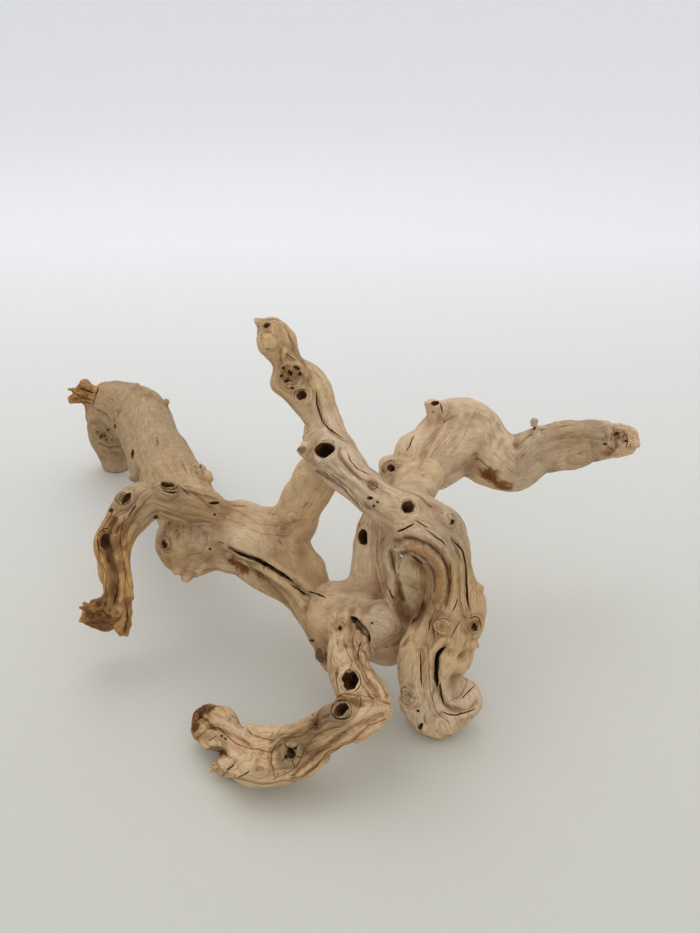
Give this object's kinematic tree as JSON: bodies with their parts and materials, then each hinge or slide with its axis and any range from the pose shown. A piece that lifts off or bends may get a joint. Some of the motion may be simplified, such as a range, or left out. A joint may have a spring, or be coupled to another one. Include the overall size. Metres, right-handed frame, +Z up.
{
  "type": "grapevine driftwood",
  "caption": "Sandblasted grapevine driftwood: one branching piece of knotted, twisted vine that stands on three of its limbs.",
  "frame": {"origin": "centre of the bounding box in plan, on the surface that the piece stands on", "axes": "+Z up, +X along the longest side towards the long outer limb, +Y towards the rear leg, so -Y is the side that faces the viewer"},
  "size_m": [0.3959, 0.3732, 0.1966],
  "materials": {
    "vine_wood": "matt, sandblasted bare wood"
  },
  "bodies": {
    "root": {"grapevine_driftwood": "vine_wood"}
  },
  "joints": []
}
